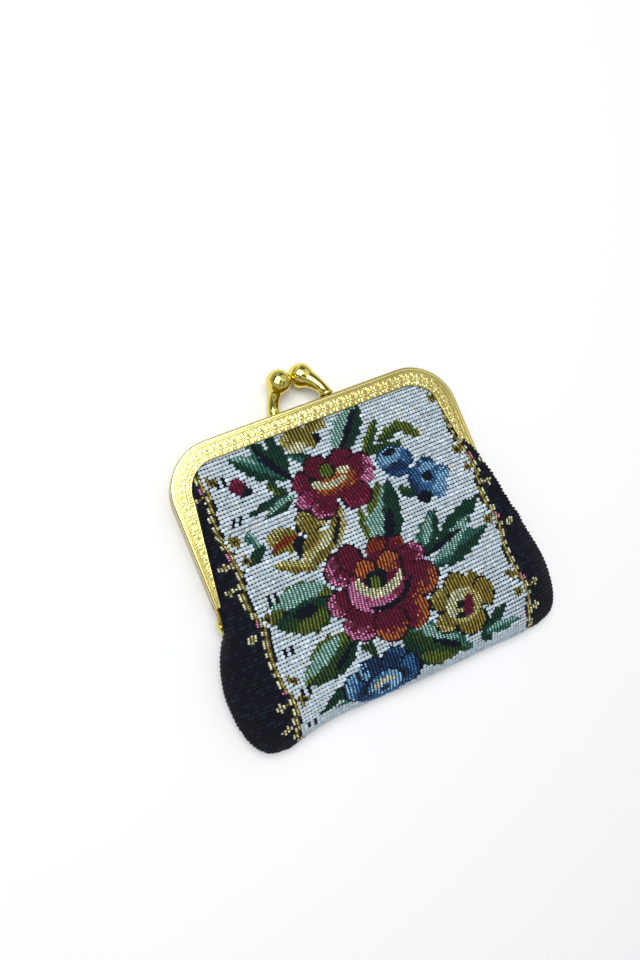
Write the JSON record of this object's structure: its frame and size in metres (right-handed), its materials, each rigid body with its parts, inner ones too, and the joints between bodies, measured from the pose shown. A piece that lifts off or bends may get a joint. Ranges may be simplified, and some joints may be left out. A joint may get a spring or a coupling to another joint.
{
  "type": "kiss lock coin purse",
  "caption": "Flat-lying shut coin purse: a puffed tapestry pouch with its mouth held in a hinged gold frame that shuts with crossed ball knobs.",
  "frame": {"origin": "middle of the bottom of the purse's box, on the surface that it lies on", "axes": "+X across the purse, +Y from the bottom fold to the clasp, +Z out of the front face"},
  "size_m": [0.099, 0.0954, 0.013],
  "materials": {
    "frame_gold": "bright gold plate, embossed with small daisies",
    "knob_gold": "mirror polished gold plate",
    "tapestry": "jacquard tapestry of flowers on a pale ground with dark sides"
  },
  "bodies": {
    "root": {"front_frame": "frame_gold", "back_frame": "frame_gold", "front_clasp_knob": "knob_gold", "back_clasp_knob": "knob_gold", "left_hinge_rivet": "knob_gold", "right_hinge_rivet": "knob_gold", "pouch": "tapestry"}
  },
  "joints": []
}
